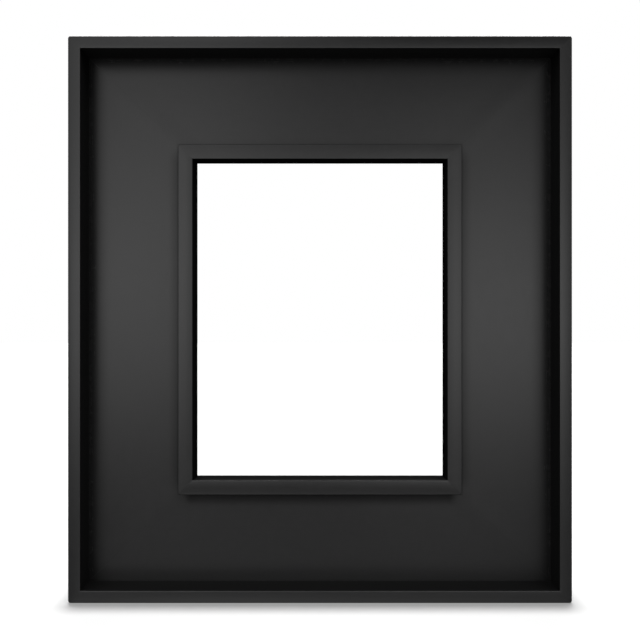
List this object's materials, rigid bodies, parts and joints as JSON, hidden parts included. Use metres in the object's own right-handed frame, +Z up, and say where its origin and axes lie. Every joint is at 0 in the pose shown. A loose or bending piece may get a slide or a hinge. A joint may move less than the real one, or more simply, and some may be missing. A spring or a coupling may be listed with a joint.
{
  "type": "floating frame",
  "caption": "Black wooden floater frame with a deep rim, a wide recessed field and a low riser round an open middle, with turn buttons and D-rings behind.",
  "frame": {"origin": "middle of the whole frame's box at its underside, where the bottom rail stands", "axes": "+Z up the frame's height, -Y out of its front, +Y towards the wall, +X to the right seen from the front"},
  "size_m": [0.4064, 0.062, 0.4572],
  "materials": {
    "satin_black": "satin black lacquer on front, sides and sight edge; bare sanded wood behind",
    "gusset_wood": "bare birch plywood",
    "biscuit_wood": "pressed beech",
    "nail_steel": "plain steel",
    "screw_steel": "zinc plated",
    "hanger_steel": "nickel plated",
    "button_steel": "zinc plated",
    "bumper_rubber": "soft dark rubber"
  },
  "bodies": {
    "frame": {"outer_rail_left": "satin_black", "field_board_left": "satin_black", "riser_strip_left": "satin_black", "outer_rail_right": "satin_black", "field_board_right": "satin_black", "riser_strip_right": "satin_black", "outer_rail_top": "satin_black", "field_board_top": "satin_black", "riser_strip_top": "satin_black", "outer_rail_bottom": "satin_black", "field_board_bottom": "satin_black", "riser_strip_bottom": "satin_black", "corner_gusset_top_left": "gusset_wood", "corner_gusset_top_right": "gusset_wood", "corner_gusset_bottom_left": "gusset_wood", "corner_gusset_bottom_right": "gusset_wood", "mitre_biscuits": "biscuit_wood", "rail_v_nails": "nail_steel", "gusset_screws": "screw_steel", "strap_screws": "screw_steel", "d_ring_strap_left": "hanger_steel", "d_ring_strap_right": "hanger_steel", "wall_bumpers": "bumper_rubber", "turn_button_screws": "screw_steel"},
    "d_ring_left": {"d_ring_left": "hanger_steel"},
    "d_ring_right": {"d_ring_right": "hanger_steel"},
    "turn_button_left_upper": {"turn_button_left_upper": "button_steel"},
    "turn_button_left_lower": {"turn_button_left_lower": "button_steel"},
    "turn_button_right_upper": {"turn_button_right_upper": "button_steel"},
    "turn_button_right_lower": {"turn_button_right_lower": "button_steel"},
    "turn_button_top": {"turn_button_top": "button_steel"},
    "turn_button_bottom": {"turn_button_bottom": "button_steel"}
  },
  "joints": [
    {"name": "d_ring_left_swing", "type": "hinge", "parent": "frame", "child": "d_ring_left", "pos_m": [-0.14, 0.0178, 0.33], "axis": [0, 0, 1], "range_deg": [-4, 165]},
    {"name": "d_ring_right_swing", "type": "hinge", "parent": "frame", "child": "d_ring_right", "pos_m": [0.14, 0.0178, 0.33], "axis": [0, 0, -1], "range_deg": [-4, 165]},
    {"name": "turn_button_left_upper_turn", "type": "hinge", "parent": "frame", "child": "turn_button_left_upper", "pos_m": [-0.1218, 0.016, 0.2836], "axis": [0, 1, 0], "continuous": true},
    {"name": "turn_button_left_lower_turn", "type": "hinge", "parent": "frame", "child": "turn_button_left_lower", "pos_m": [-0.1218, 0.016, 0.1736], "axis": [0, 1, 0], "continuous": true},
    {"name": "turn_button_right_upper_turn", "type": "hinge", "parent": "frame", "child": "turn_button_right_upper", "pos_m": [0.1218, 0.016, 0.2836], "axis": [0, 1, 0], "continuous": true},
    {"name": "turn_button_right_lower_turn", "type": "hinge", "parent": "frame", "child": "turn_button_right_lower", "pos_m": [0.1218, 0.016, 0.1736], "axis": [0, 1, 0], "continuous": true},
    {"name": "turn_button_top_turn", "type": "hinge", "parent": "frame", "child": "turn_button_top", "pos_m": [0, 0.016, 0.37895], "axis": [0, 1, 0], "continuous": true},
    {"name": "turn_button_bottom_turn", "type": "hinge", "parent": "frame", "child": "turn_button_bottom", "pos_m": [0, 0.016, 0.07825], "axis": [0, 1, 0], "continuous": true}
  ]
}
